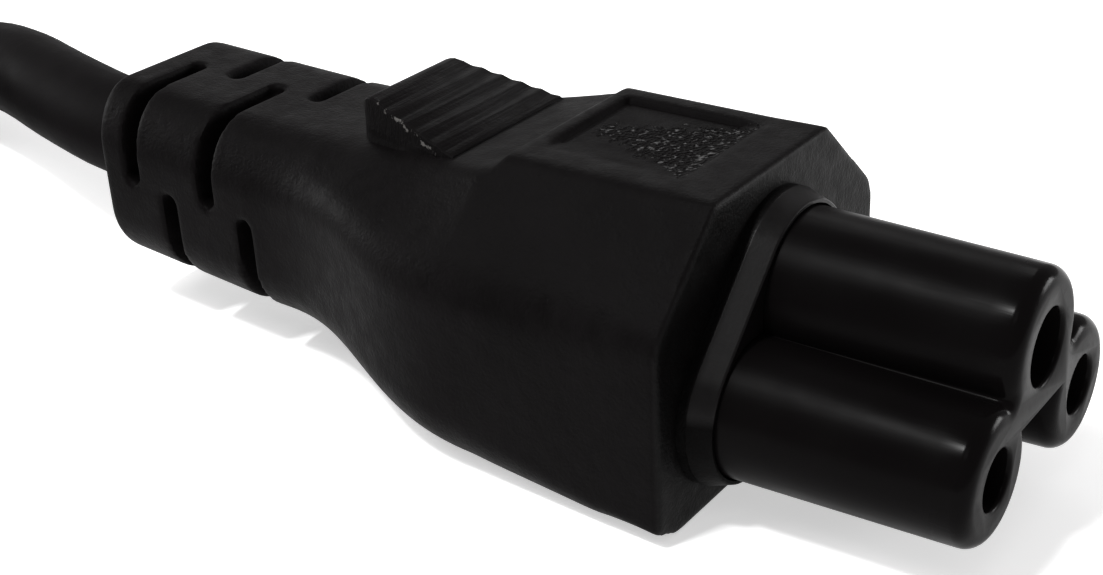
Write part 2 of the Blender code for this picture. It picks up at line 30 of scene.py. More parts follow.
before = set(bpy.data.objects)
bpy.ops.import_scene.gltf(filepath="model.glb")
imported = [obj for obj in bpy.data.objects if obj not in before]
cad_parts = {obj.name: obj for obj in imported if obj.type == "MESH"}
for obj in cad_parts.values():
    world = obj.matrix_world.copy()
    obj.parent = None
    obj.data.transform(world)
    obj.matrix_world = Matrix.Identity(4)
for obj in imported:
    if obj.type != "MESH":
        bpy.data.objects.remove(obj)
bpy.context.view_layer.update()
scene = bpy.context.scene

# Sizes in millimetres, most of them as in the part

HEAD_WIDTH, HEAD_HEIGHT, TOP_FLAT_WIDTH = 22.0, 16.3, 11.1
PAD_LENGTH, PAD_STEP, PAD_BEVEL = 12.1, 0.7, 0.6
NECK_FLAT_HALF = 6.5
FOOT_CHAMFER = (1.8, 0.85)
CREASE_HEIGHT, TOP_TAPER = 11.2, 0.3
LABEL_LENGTH, LABEL_WIDTH, LABEL_DEPTH, LABEL_FROM_BACK = 8.6, 8.4, 0.3, 0.9
LABEL_RUN_OUT = (1.6, 2.0)
GROOVE_WIDTH, GROOVE_DEPTH, GROOVE_SHORT, GROOVE_LAP = 0.32, 0.25, 1.2, 0.02
STRAIGHT, FLARE, RELIEF = 12.0, 18.2, 12.9
NECK_WIDTH, RELIEF_WIDTH, NECK_TOP, NECK_BOTTOM, RELIEF_HEIGHT = 13.6, 12.3, 13.9, 2.4, 11.5
AXIS_HEIGHT = 8.7
TOP_CORNER, FOOT_ROUND, RELIEF_RIM = (3.6, 3.8), 3.5, 0.8
FOOT_RISE_START, TOP_ROUND_START, FOOT_ROUND_RATE = 0.75, 0.2, 3
SLOT_WIDTH, SLOT_PITCH, SLOT_FLOOR, FIRST_SLOT, SLOT_RINGS = 1.4, 3.25, 4.5, 3.0, 4
SLOT_START, SLOT_SWEEP, ODD_SLOT_SHIFT = 92.0, 86.0, 0.2
GRIP_BACK, GRIP_FRONT, GRIP_TOP, GRIP_RISE, GRIP_LIP = 23.9, 16.0, 16.3, 0.42, 0.12
GRIP_BACK_HALF, GRIP_FRONT_HALF = 3.3, 5.0
GRIP_ROLL, GRIP_ROLL_DROP = 1.35, 1.5
TEETH, TOOTH_PITCH, TOOTH_DEPTH, FIRST_TOOTH = 5, 1.19, 0.09, 1.75
NOSE_LENGTH, NOSE_RIM, NOSE_ROOT = 14.4, 0.85, 4.0
POLE_SPACING, EARTH_RISE, POLE_HEIGHT = 10.0, 4.47, 5.7
EARTH_LOBE, POLE_LOBE, WEB_RISE, NOTCH_FILLET = 3.93, 3.56, 1.1, 0.08
NOSE_DRAFT, NOSE_FIT = 0.15, 0.1
COLLAR_LENGTH, COLLAR_WALL, COLLAR_TAPER, COLLAR_BED = 1.85, 0.42, 0.41, 0.5
COLLAR_STEP, COLLAR_ROOT, COLLAR_FIT = 0.67, 1.9, 0.08
EARTH_HOLE, POLE_HOLE, BORE_LIP, BORE_DEPTH = 1.9, 1.5, 1.5, 12.5
SLEEVE_SHOULDER, FIT_GAP = 0.35, 0.3
CORD_DIAMETER = 6.4
CORD_RADIUS = CORD_DIAMETER / 2
CORD_HOLE, CORD_HOLE_DEPTH = 3.24, 3.0
COIL_CENTRE = (-88.5, -29.0)
COIL_INNER_TURN = 26.8
TIE_THICKNESS, TIE_WIDTH, TIE_LIFT = 0.9, 5.0, 1.1
UPPER_LAYER = 5.54
PLUG_BACK, PLUG_AXIS = (-60.5, -70.5), 11.0
PLUG_WIDTH, PLUG_HEIGHT, PLUG_BODY, PLUG_RELIEF = 24.0, 24.5, 28.0, 22.0
PLUG_RELIEF_END, PLUG_RELIEF_ROOT, PLUG_ROUND = 8.6, 13.0, 6.0
PLUG_SLOTS, PLUG_SLOT_PITCH, FIRST_PLUG_SLOT, PLUG_SLOT_DEPTH = 5, 3.4, 2.6, 1.3
RIBS, RIB_PITCH, RIB_GAP, RIB_DEPTH, RIB_MARGIN = 5, 2.1, 0.9, 0.55, 6.5
BLADE_SPACING, BLADE_WIDTH, BLADE_THICKNESS, BLADE_HEIGHT = 12.7, 6.35, 1.52, 7.6
BLADE_HOLE, BLADE_HOLE_PLACE, BLADE_ROOT = 1.6, 13.2, 3.0
PIN_RISE, PIN_RADIUS, PIN_STRAIGHT = 11.9, 2.4, 19.0

# Places that follow from the sizes

PAD_END = PAD_LENGTH + PAD_BEVEL
RELIEF_START = STRAIGHT + FLARE
BACK_END = RELIEF_START + RELIEF
FACE_X = (NOSE_LENGTH + BACK_END) / 2 - NOSE_LENGTH
TIP_X = FACE_X + NOSE_LENGTH
RELIEF_END_X = FACE_X - BACK_END
PLUG_ROOT_X = PLUG_BACK[0] + PLUG_RELIEF
PLUG_FACE_X = PLUG_ROOT_X + PLUG_BODY


# Camera


def make_camera():
    """The camera fitted to the photo: its axes are the first three columns, its place in metres the last."""
    data = bpy.data.cameras.new("camera")
    data.sensor_width = 36.0
    data.lens = 57.54
    data.clip_start = 0.005
    made = bpy.data.objects.new("camera", data)
    scene.collection.objects.link(made)
    made.matrix_world = Matrix((
        (0.8126, -0.2316, 0.5348, 0.05278),
        (0.5811, 0.3920, -0.7132, -0.0697),
        (-0.0444, 0.8903, 0.4531, 0.0502),
        (0.0, 0.0, 0.0, 1.0),
    ))
    scene.camera = made


# Small helpers


def put(name, mesh):
    made = bpy.data.objects.new(name, mesh)
    scene.collection.objects.link(made)
    mesh.shade_smooth()
    return made


def finished(name, shape):
    """Makes an object of a bmesh."""
    mesh = bpy.data.meshes.new(name)
    shape.to_mesh(mesh)
    shape.free()
    return put(name, mesh)


def ease(value):
    t = min(max(value, 0.0), 1.0)
    return t * t * t * (10 - 15 * t + 6 * t * t)


def half_cosine(value):
    return (1 - math.cos(math.pi * min(max(value, 0.0), 1.0))) / 2


def blend(start, end, share):
    return start + (end - start) * share


def arc(centre, radius, start, end, pieces):
    points = []
    for i in range(pieces + 1):
        angle = blend(start, end, i / pieces)
        points.append((centre[0] + radius * math.cos(angle), centre[1] + radius * math.sin(angle)))
    return points


def at_x(x, outline):
    return [(x, y, z) for y, z in outline]


def rings_in(shape, sections):
    """Adds each section's points, in millimetres, to a bmesh as a ring of vertices."""
    return [[shape.verts.new([value * MM for value in point]) for point in section] for section in sections]


def loft(name, sections):
    """A closed body through rings of points in millimetres."""
    shape = bmesh.new()
    rings = rings_in(shape, sections)
    count = len(rings[0])
    for near, far in zip(rings, rings[1:]):
        for i in range(count):
            j = (i + 1) % count
            shape.faces.new((near[i], near[j], far[j], far[i]))
    shape.faces.new(rings[0])
    shape.faces.new(rings[-1])
    bmesh.ops.recalc_face_normals(shape, faces=shape.faces)
    return finished(name, shape)


def prism(name, outline, start, end):
    return loft(name, [at_x(x, outline) for x in (start, end)])


def box(name, low, high):
    shape = bmesh.new()
    bmesh.ops.create_cube(shape, size=1.0)
    low, high = Vector(low) * MM, Vector(high) * MM
    bmesh.ops.scale(shape, vec=high - low, verts=shape.verts)
    bmesh.ops.translate(shape, vec=(low + high) / 2, verts=shape.verts)
    return finished(name, shape)


def swung(profile, place, angle):
    """A profile of (radius, distance along +X) at an angle about an axis along X through a place."""
    x, y, z = place
    across, up = math.cos(angle), math.sin(angle)
    return [(x + along, y + radius * across, z + radius * up) for radius, along in profile]


def turned_x(name, profile, place, steps=64):
    """A closed body of such a profile turned all the way round."""
    shape = bmesh.new()
    rings = rings_in(shape, [swung(profile, place, 2 * math.pi * i / steps) for i in range(steps)])
    for near, far in zip(rings, rings[1:] + rings[:1]):
        for j in range(len(profile) - 1):
            shape.faces.new((near[j], near[j + 1], far[j + 1], far[j]))
    bmesh.ops.remove_doubles(shape, verts=shape.verts, dist=1e-7)
    bmesh.ops.recalc_face_normals(shape, faces=shape.faces)
    return finished(name, shape)


def applied(made):
    """Bakes an object's modifiers into its mesh."""
    graph = bpy.context.evaluated_depsgraph_get()
    graph.update()
    mesh = bpy.data.meshes.new_from_object(made.evaluated_get(graph))
    made.modifiers.clear()
    old = made.data
    made.data = mesh
    bpy.data.meshes.remove(old)


def cut(target, tools, operation="DIFFERENCE"):
    """Adds or takes away solids, which are deleted afterwards."""
    for tool in tools:
        step = target.modifiers.new("cut", "BOOLEAN")
        step.operation = operation
        step.solver = "EXACT"
        step.object = tool
    applied(target)
    for tool in tools:
        bpy.data.objects.remove(tool)


def close_seams(mesh, gap):
    """Merges the slivers that a cut leaves, so that the mesh stays closed."""
    shape = bmesh.new()
    shape.from_mesh(mesh)
    bmesh.ops.triangulate(shape, faces=shape.faces)
    bmesh.ops.remove_doubles(shape, verts=shape.verts, dist=gap * MM)
    bmesh.ops.dissolve_degenerate(shape, edges=shape.edges, dist=gap * MM)
    shape.to_mesh(mesh)
    shape.free()


def remesh(made, voxel, rounds=3):
    """One even skin over all of a piece's solids, with its edges softly rounded."""
    step = made.modifiers.new("skin", "REMESH")
    step.mode = "VOXEL"
    step.voxel_size = voxel * MM
    step.use_smooth_shade = True
    soft = made.modifiers.new("soft", "SMOOTH")
    soft.factor = 0.5
    soft.iterations = rounds
    applied(made)
    made.data.shade_smooth()


def crease_over(made, degrees):
    made.data.shade_smooth()
    made.data.set_sharp_from_angle(angle=math.radians(degrees))


# Cord


def polar(angle, radius, height):
    turn = math.radians(angle)
    return (COIL_CENTRE[0] + radius * math.cos(turn), COIL_CENTRE[1] + radius * math.sin(turn), height)


def hump(angle, middle, half, height):
    return height * (1 - half_cosine(abs(angle - middle) / half))


def coil_place(angle):
    """Radius and height of the winding at a total angle: three turns below and the others on them."""
    radius, height = COIL_INNER_TURN + 2 * CORD_DIAMETER, CORD_RADIUS
    rise = CORD_DIAMETER * math.sin(math.pi / 3)
    moves = (
        (345, 445, -CORD_DIAMETER, 0.0),
        (705, 805, -CORD_DIAMETER, 0.0),
        (985, 1060, 0.0, rise),
        (1035, 1105, CORD_RADIUS, 0.0),
        (1270, 1365, CORD_DIAMETER, 0.0),
    )
    for start, end, outwards, upwards in moves:
        share = half_cosine((angle - start) / (end - start))
        radius += outwards * share
        height += upwards * share
    # the cord arches where it steps over from one turn to the next, and over the tie
    arches = ((1115, 65, 1.0), (1475, 70, 1.0), (1317, 60, 0.95))
    height += sum(hump(angle, *arch) for arch in arches)
    over_tie = TIE_LIFT * math.exp(-(((angle % 360) - 180) / 24) ** 2)
    return radius, height + over_tie


LEAD = (
    (RELIEF_END_X, 0.0, AXIS_HEIGHT),
    (-31.5, 0.08, 8.71),
    (-35.5, 0.55, 8.72),
    (-42.5, 2.4, 8.6),
    (-49.5, 4.9, 8.1),
    (-56.5, 7.4, 6.8),
    (-63.6, 9.4, 5.0),
)
# angle, radius and height about the coil's centre
INTO_COIL = ((66, 43.0, 4.0), (78, 40.8, 3.4), (88, 39.8, 3.22))
COIL_ANGLES = range(98, 1628, 12)
OUT_OF_COIL = ((203, 36.9, 9.75), (218, 39.0, 10.0), (232, 41.2, 10.25))
TAIL = (
    (-106.1, -68.55, 10.4),
    (-100.7, -71.7, 10.6),
    (-94.8, -73.9, 10.8),
    (-87.0, -74.7, 10.95),
    (-79.5, -74.1, 11.0),
    (-72.0, -72.5, 11.0),
    (-65.5, -71.0, 11.0),
    (PLUG_BACK[0] - FIT_GAP, PLUG_BACK[1], PLUG_AXIS),
)


def cord_knots():
    knots = list(LEAD) + [polar(*knot) for knot in INTO_COIL]
    knots += [polar(angle, *coil_place(angle)) for angle in COIL_ANGLES]
    knots += [polar(*knot) for knot in OUT_OF_COIL]
    return knots + list(TAIL)


def smooth_route(points, step):
    """Points about a step apart on a smooth curve through the given ones."""
    knots = [Vector(point) for point in points]
    ends = [knots[0] * 2 - knots[1]] + knots + [knots[-1] * 2 - knots[-2]]
    curve = []
    for a, b, c, d in zip(ends, ends[1:], ends[2:], ends[3:]):
        pieces = max(1, round((c - b).length / step))
        for i in range(pieces):
            t = i / pieces
            bend = (b - c) * 3 + d - a
            curve.append(b + ((c - a) + ((a * 2 - b * 5 + c * 4 - d) + bend * t) * t) * (t / 2))
    curve.append(knots[-1])
    return curve


def make_cord():
    """The whole cord as one tube from the strain relief, through its coil, to the plug."""
    route = smooth_route(cord_knots(), 2.6)
    length = sum((b - a).length for a, b in zip(route, route[1:]))
    line = bpy.data.curves.new("cord", "CURVE")
    line.dimensions = "3D"
    line.bevel_depth = 1.0
    line.bevel_resolution = 9
    line.use_fill_caps = True
    spline = line.splines.new("POLY")
    spline.points.add(len(route) - 1)
    for point, place in zip(spline.points, route):
        point.co = (*(place * MM), 1.0)
        point.radius = CORD_RADIUS * MM
    spline.use_smooth = True
    made = bpy.data.objects.new("cord", line)
    scene.collection.objects.link(made)
    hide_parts("cord_lead", "cord_coil", "cord_tail")
    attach(made, "root")
    return made, length * MM


# Connector overmould

EDGE_PIECES = 7


def bevel_path(width, height, ease_top, ease_low):
    """A sloped face from (-width, 0) to (0, -height), with both of its edges rounded off."""
    slope = math.hypot(width, height)
    along = (width / slope, -height / slope)
    top = ((-width - ease_top, 0.0), (-width, 0.0), (-width + along[0] * ease_top, along[1] * ease_top))
    low = ((-along[0] * ease_low, -height - along[1] * ease_low), (0.0, -height), (0.0, -height - ease_low))
    points = []
    for parts in (top, low):
        for i in range(EDGE_PIECES + 1):
            t = i / EDGE_PIECES
            weights = ((1 - t) ** 2, 2 * t * (1 - t), t * t)
            points.append(tuple(sum(w * part[axis] for w, part in zip(weights, parts)) for axis in (0, 1)))
    return points


def corner(width, height, roundness, ease_top, ease_low):
    """From a rounded bevel, at roundness 0, to a quarter of an ellipse, at 1."""
    points = []
    path = bevel_path(max(width, 0.01), max(height, 0.01), ease_top, ease_low)
    for i, (across, down) in enumerate(path):
        angle = i / (len(path) - 1) * math.pi / 2
        curve = (width * (math.sin(angle) - 1), -height * (1 - math.cos(angle)))
        points.append((blend(across, curve[0], roundness), blend(down, curve[1], roundness)))
    return points


def top_height(back):
    """Height of the top at a distance behind the front face."""
    neck_start = HEAD_HEIGHT - PAD_STEP
    if back <= PAD_LENGTH:
        return HEAD_HEIGHT
    if back <= PAD_END:
        return blend(HEAD_HEIGHT, neck_start, (back - PAD_LENGTH) / PAD_BEVEL)
    if back >= RELIEF_START:
        return blend(NECK_TOP, AXIS_HEIGHT + RELIEF_HEIGHT / 2, (back - RELIEF_START) / RELIEF)
    left = (RELIEF_START - back) / (RELIEF_START - PAD_END)
    return blend(NECK_TOP, neck_start, left * left)


def connector_section(back, inset=0.0):
    """The connector's outline at a distance behind the front face."""
    flare = ease((back - STRAIGHT) / FLARE)
    along_relief = max(back - RELIEF_START, 0.0) / RELIEF
    half = blend(HEAD_WIDTH, NECK_WIDTH, flare) / 2
    half = blend(half, RELIEF_WIDTH / 2, along_relief) - inset
    top = top_height(back) - inset
    foot_start = STRAIGHT * FOOT_RISE_START
    foot = NECK_BOTTOM * ease((back - foot_start) / (RELIEF_START - foot_start))
    foot = blend(foot, AXIS_HEIGHT - RELIEF_HEIGHT / 2, along_relief) + inset
    slope = (HEAD_WIDTH - TOP_FLAT_WIDTH) / 2 / (HEAD_HEIGHT - CREASE_HEIGHT)
    flat = TOP_FLAT_WIDTH / 2 + (HEAD_HEIGHT - top) * slope
    # behind the pad the flat top narrows quickly towards the neck
    if back > PAD_END:
        flat = max(NECK_FLAT_HALF - TOP_TAPER * (back - PAD_END), NECK_WIDTH / 2 - TOP_CORNER[0])
    crease = HEAD_HEIGHT - (blend(half, HEAD_WIDTH / 2, 0.4) - TOP_FLAT_WIDTH / 2) / slope
    round_start = STRAIGHT + FLARE * TOP_ROUND_START
    rounding = ease((back - round_start) / (RELIEF_START - round_start))
    top_width = max(half - flat, 0.0)
    top_depth = blend(max(top - crease, 0.0), TOP_CORNER[1], rounding)
    foot_share = min(back / STRAIGHT, 1.0)
    foot_rounding = min(foot_share * FOOT_ROUND_RATE, 1.0)
    foot_width, foot_height = (blend(size, FOOT_ROUND, foot_share) for size in FOOT_CHAMFER)
    # the edges are crisp at the front face and softer behind it
    crease_ease = blend(0.9, 1.8, min(back / 6, 1.0))
    edge_ease = blend(0.15, 0.6, min(max(back, 0.0) / 3, 1.0))
    upper = [(half + y, top + z) for y, z in corner(top_width, top_depth, rounding, edge_ease, crease_ease)]
    lower = [(half + y, foot - z) for y, z in corner(foot_width, foot_height, foot_rounding, 0.2, 0.2)]
    right = upper + lower[::-1]
    left = [(-y, z) for y, z in right[::-1]]
    return at_x(FACE_X - back, right + left)


def grip_line():
    """The grip's top, as (distance behind the front face, height): a rolled back edge, then fine teeth."""
    crest, first_tooth = GRIP_BACK - GRIP_ROLL, GRIP_BACK - FIRST_TOOTH
    front_top = top_height(GRIP_FRONT) + GRIP_LIP
    crest_top = GRIP_TOP + GRIP_RISE

    def line(back):
        return blend(crest_top, front_top, (crest - back) / (crest - GRIP_FRONT))

    stations = []
    for i in range(9):
        angle = i / 8 * math.pi / 2
        drop = GRIP_ROLL_DROP * (1 - math.sin(angle))
        stations.append((GRIP_BACK - GRIP_ROLL * (1 - math.cos(angle)), crest_top - drop))
    stations.append((first_tooth + 0.3, line(first_tooth + 0.3)))
    tooth = ((0.0, 0.0), (0.12, 0.0), (0.5, TOOTH_DEPTH), (0.62, TOOTH_DEPTH), (0.97, 0.02))
    for i in range(TEETH):
        start = first_tooth - i * TOOTH_PITCH
        for along, drop in tooth:
            back = start - along * TOOTH_PITCH
            stations.append((back, line(back) - drop))
    return stations + [(GRIP_FRONT + 0.1, front_top - 0.05), (GRIP_FRONT, front_top - 0.4)]


def grip_solid():
    """The finger grip: a wedge that widens towards the front, with scooped flanks."""
    sections = []
    for back, top in grip_line():
        share = min(max((GRIP_BACK - back) / (GRIP_BACK - GRIP_FRONT), 0.0), 1.0)
        half = blend(GRIP_BACK_HALF, GRIP_FRONT_HALF, share ** 0.85)
        # the back corners are rounded in plan
        half -= 0.5 * max(1 - share * 7, 0.0) ** 2
        bulge = 0.15 + 0.4 * math.sin(math.pi * share) ** 0.8
        floor = min(top_height(back), top) - 1.2
        side = [(half - 0.12, top), (half, top - 0.1)]
        for i in range(1, 7):
            part = i / 6
            side.append((half + bulge * part ** 2.4, blend(top - 0.1, floor, part)))
        side.append((half - 0.6, AXIS_HEIGHT))
        sections.append(at_x(FACE_X - back, side + [(-y, z) for y, z in side[::-1]]))
    return loft("grip_solid", sections)


def slot_solid(x, start, end):
    """One slot between two angles about the strain relief's axis, narrow at its rounded ends."""
    outer = max(NECK_WIDTH, RELIEF_HEIGHT)
    sides = ((SLOT_FLOOR, -0.8), (SLOT_FLOOR, 0.8), (outer, 1.0), (outer, -1.0))
    sections = []
    for i in range(25):
        edge = min(i, 24 - i) / 24 * (end - start) * 6.5
        wide = SLOT_WIDTH / 2 * math.sqrt(1 - max(1 - edge / 0.5, 0.0) ** 2 * 0.7)
        profile = [(radius, side * wide) for radius, side in sides]
        sections.append(swung(profile, (x, 0.0, AXIS_HEIGHT), blend(start, end, i / 24)))
    return loft("slot_solid", sections)


def slot_solids():
    """Slots round opposite corners of the strain relief, mirrored in every other ring."""
    solids = []
    for ring in range(SLOT_RINGS):
        odd = ring % 2
        x = RELIEF_END_X + FIRST_SLOT + ring * SLOT_PITCH - (ODD_SLOT_SHIFT if odd else 0.0)
        before, after = (3, 3) if odd else (8, 1)
        for turn in (0.0, math.pi):
            start = math.radians(SLOT_START - before) + turn
            end = math.radians(SLOT_START + SLOT_SWEEP + after) + turn
            if odd:
                start, end = math.pi - end, math.pi - start
            solids.append(slot_solid(x, start, end))
    return solids


def lobes(grow):
    """Centres of the upper lobe and the one below it at +Y, and their radii."""
    earth = Vector((0.0, POLE_HEIGHT + EARTH_RISE))
    pole = Vector((POLE_SPACING / 2, POLE_HEIGHT))
    return earth, pole, EARTH_LOBE + grow, POLE_LOBE + grow


def with_mirror(points):
    """An outline from the top round the +Y side, with its mirror image at -Y."""
    return points + [(-y, z) for y, z in points[:0:-1]]


def lobed_outline(grow, pieces=4):
    """The nose's outline as (y, z) points; the straight line below its last point is the web."""
    earth, pole, earth_radius, pole_radius = lobes(grow)
    fillet = NOTCH_FILLET - min(grow, NOTCH_FILLET * 0.8)
    to_earth, to_pole = earth_radius + fillet, pole_radius + fillet
    between = pole - earth
    span = between.length
    reach = (to_earth ** 2 - to_pole ** 2 + span ** 2) / (2 * span)
    side = math.sqrt(max(to_earth ** 2 - reach ** 2, 0.0))
    ahead = between / span
    outward = Vector((-ahead.y, ahead.x))
    if outward.x < 0:
        outward = -outward
    notch = earth + ahead * reach + outward * side
    at_earth = math.atan2(notch.y - earth.y, notch.x - earth.x)
    at_pole = math.atan2(notch.y - pole.y, notch.x - pole.x)
    web = POLE_HEIGHT + WEB_RISE - max(grow, grow * 0.25)
    web_angle = math.pi - math.asin((web - POLE_HEIGHT) / pole_radius)
    points = arc(earth, earth_radius, math.pi / 2, at_earth, 6 * pieces)
    points += arc(notch, fillet, at_earth + math.pi, at_pole + math.pi, 2 * pieces)[1:-1]
    points += arc(pole, pole_radius, at_pole, web_angle - 2 * math.pi, 12 * pieces)
    return with_mirror(points)


def hull_outline(grow, pieces=5):
    """A band round all three lobes as (y, z) points, straight between them."""
    earth, pole, earth_radius, pole_radius = lobes(grow)
    between = pole - earth
    lean = math.acos((earth_radius - pole_radius) / between.length)
    tangent = math.atan2(between.y, between.x) + lean
    points = arc(earth, earth_radius, math.pi / 2, tangent, 5 * pieces)
    points += arc(pole, pole_radius, tangent, -math.pi / 2, 8 * pieces)
    return with_mirror(points)


def collar_solid():
    """The crisp, slightly tapered collar round the nose's root."""
    root, tip = COLLAR_WALL + COLLAR_TAPER, COLLAR_WALL
    fall = COLLAR_TAPER / (COLLAR_LENGTH - COLLAR_STEP)
    # close rings beside the bend keep its edge crisp
    stations = (
        (FACE_X - COLLAR_ROOT, root),
        (FACE_X + COLLAR_STEP - 0.04, root),
        (FACE_X + COLLAR_STEP, root),
        (FACE_X + COLLAR_STEP + 0.04, root - 0.04 * fall),
        (FACE_X + COLLAR_LENGTH - 0.1, tip + 0.1 * fall),
        (FACE_X + COLLAR_LENGTH - 0.06, tip + 0.06 * fall),
        (FACE_X + COLLAR_LENGTH, tip - 0.05),
    )
    made = loft("collar_ring", [at_x(x, hull_outline(grow)) for x, grow in stations])
    cut(made, [prism("collar_hole", lobed_outline(NOSE_DRAFT + COLLAR_FIT), FACE_X - 3.0, FACE_X + 3.0)])
    return made


def label_grooves(start):
    """A narrow groove along the recess's back and far edges."""
    half = LABEL_WIDTH / 2
    low, high = HEAD_HEIGHT - LABEL_DEPTH - GROOVE_DEPTH, HEAD_HEIGHT + LABEL_DEPTH
    corners = (
        ((start - GROOVE_LAP, GROOVE_SHORT - half, low), (start + GROOVE_WIDTH, half, high)),
        ((start, half - GROOVE_WIDTH, low), (start + LABEL_LENGTH - GROOVE_SHORT, half + GROOVE_LAP, high)),
    )
    return [box("label_groove", *pair) for pair in corners]


def label_solid(start):
    """The shallow recess on the pad: steep at the back and on one side, running out on the others."""
    half, end = LABEL_WIDTH / 2, start + LABEL_LENGTH
    rings = []
    for sign in (-1, 1):
        front, near = end + sign * LABEL_RUN_OUT[0], -half - sign * LABEL_RUN_OUT[1]
        outline = ((start, half), (front, half), (front, near), (start, near))
        rings.append([(x, y, HEAD_HEIGHT + sign * LABEL_DEPTH) for x, y in outline])
    return loft("label_solid", rings)


def connector_solid():
    rim_start = BACK_END - RELIEF_RIM
    # the front face starts a little proud, as softening the skin wears its edges back
    stations = [-0.1] + [PAD_LENGTH * i / 16 for i in range(1, 17)] + [PAD_END]
    stations += [blend(PAD_END, RELIEF_START, (i + 1) / 40) for i in range(40)]
    stations += [blend(RELIEF_START, rim_start, (i + 1) / 16) for i in range(16)]
    sections = [connector_section(back) for back in stations]
    for i in range(1, 7):
        angle = i / 6 * math.pi / 2
        inset = RELIEF_RIM * (1 - math.cos(angle))
        sections.append(connector_section(rim_start + RELIEF_RIM * math.sin(angle), inset))
    return loft("connector_skin", sections)


def make_overmould():
    """The soft moulding: one even skin, with the crisp collar and grip joined on afterwards."""
    made = connector_solid()
    end = (RELIEF_END_X, 0.0, AXIS_HEIGHT)
    lip = ((0.0, 2.0), (4.6, 2.0), (4.2, 0.0), (3.75, -0.35), (3.5, -0.9), (3.38, -1.6), (0.0, -1.6))
    cut(made, [turned_x("sleeve_solid", lip, end)], "UNION")
    hole = ((0.0, 0.0), (CORD_HOLE, 0.0), (CORD_HOLE, -CORD_HOLE_DEPTH), (0.0, -CORD_HOLE_DEPTH))
    bore = turned_x("cord_bore", hole, end)
    label_end = FACE_X - PAD_LENGTH + LABEL_FROM_BACK
    label = label_solid(label_end)
    bed = prism("collar_bed", hull_outline(COLLAR_BED), FACE_X - 2.0, FACE_X + 2.0)
    root = FACE_X - NOSE_ROOT - FIT_GAP
    pocket = prism("pocket_solid", lobed_outline(NOSE_DRAFT + NOSE_FIT), root, FACE_X + 2.0)
    cut(made, slot_solids() + label_grooves(label_end) + [label, bore, bed, pocket])
    remesh(made, 0.21)
    cut(made, [collar_solid(), grip_solid()], "UNION")
    close_seams(made.data, 0.03)
    crease_over(made, 40)
    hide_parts("connector_overmould")
    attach(made, "root")
    return made


# Nose


def drafted(x):
    """How much wider than nominal the nose is at x: it narrows a little towards its tip."""
    return NOSE_DRAFT * (1 - 2 * min(max((x - FACE_X) / NOSE_LENGTH, 0.0), 1.0))


def bore_profile(hole):
    """A bore with an eased mouth and a lip, behind which a wider chamber takes the sleeve."""
    chamber = hole + SLEEVE_SHOULDER + FIT_GAP
    mouth = ((0.0, 1.0), (hole + 0.22, 1.0), (hole + 0.22, 0.0), (hole + 0.1, -0.05), (hole + 0.03, -0.13))
    return mouth + (
        (hole, -0.25), (hole, -BORE_LIP), (chamber, -BORE_LIP), (chamber, -BORE_DEPTH), (0.0, -BORE_DEPTH),
    )


def make_insert():
    """The hard nose, its front edge well rounded."""
    rim_start = TIP_X - NOSE_RIM
    sections = []
    for i in range(13):
        x = blend(FACE_X - NOSE_ROOT, rim_start, i / 12)
        sections.append(at_x(x, lobed_outline(drafted(x))))
    for i in range(1, 11):
        angle = i / 10 * math.pi / 2
        x = rim_start + NOSE_RIM * math.sin(angle)
        grow = drafted(x) - NOSE_RIM * (1 - math.cos(angle))
        sections.append(at_x(x, lobed_outline(grow)))
    made = loft("socket_nose", sections)
    half = POLE_SPACING / 2
    bores = (
        ((TIP_X, 0.0, POLE_HEIGHT + EARTH_RISE), EARTH_HOLE),
        ((TIP_X, half, POLE_HEIGHT), POLE_HOLE),
        ((TIP_X, -half, POLE_HEIGHT), POLE_HOLE),
    )
    cut(made, [turned_x("bore_solid", bore_profile(hole), place) for place, hole in bores])
    crease_over(made, 38)
    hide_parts("socket_insert")
    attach(made, "root")
    return made


# Tie


def hull_side(points):
    """One side of the convex hull of points that are sorted along it."""
    chain = []
    for point in points:
        while len(chain) > 1:
            (ax, az), (bx, bz) = chain[-2], chain[-1]
            if (bx - ax) * (point[1] - az) - (bz - az) * (point[0] - ax) > 0:
                break
            chain.pop()
        chain.append(point)
    return chain[:-1]


def tie_path():
    """The strap's inner line as (radius, height) from the coil's axis, with its lap."""
    low = CORD_RADIUS + TIE_LIFT
    turns = (
        (COIL_INNER_TURN + 2 * CORD_DIAMETER, low),
        (COIL_INNER_TURN, low),
        (COIL_INNER_TURN + CORD_RADIUS, low + UPPER_LAYER),
        (COIL_INNER_TURN + 3 * CORD_RADIUS, low + UPPER_LAYER),
    )
    # the strap follows the outer turns, so its path is the hull of their circles
    clear = CORD_RADIUS + 0.06
    cloud = set()
    for radius, height in turns:
        for i in range(72):
            angle = 2 * math.pi * i / 72
            place = (radius + clear * math.cos(angle), height + clear * math.sin(angle))
            cloud.add(tuple(round(value, 5) for value in place))
    cloud = sorted(cloud)
    hull = hull_side(cloud) + hull_side(cloud[::-1])
    dense = []
    for (ax, az), (bx, bz) in zip(hull, hull[1:] + hull[:1]):
        pieces = max(1, int(math.hypot(bx - ax, bz - az) / 0.7))
        dense += [(blend(ax, bx, i / pieces), blend(az, bz, i / pieces)) for i in range(pieces)]
    count = len(dense)
    start = max(range(count), key=lambda i: dense[i][0] + dense[i][1] * 0.3)
    return [dense[(start + i) % count] for i in range(count + int(count * 0.16))], count


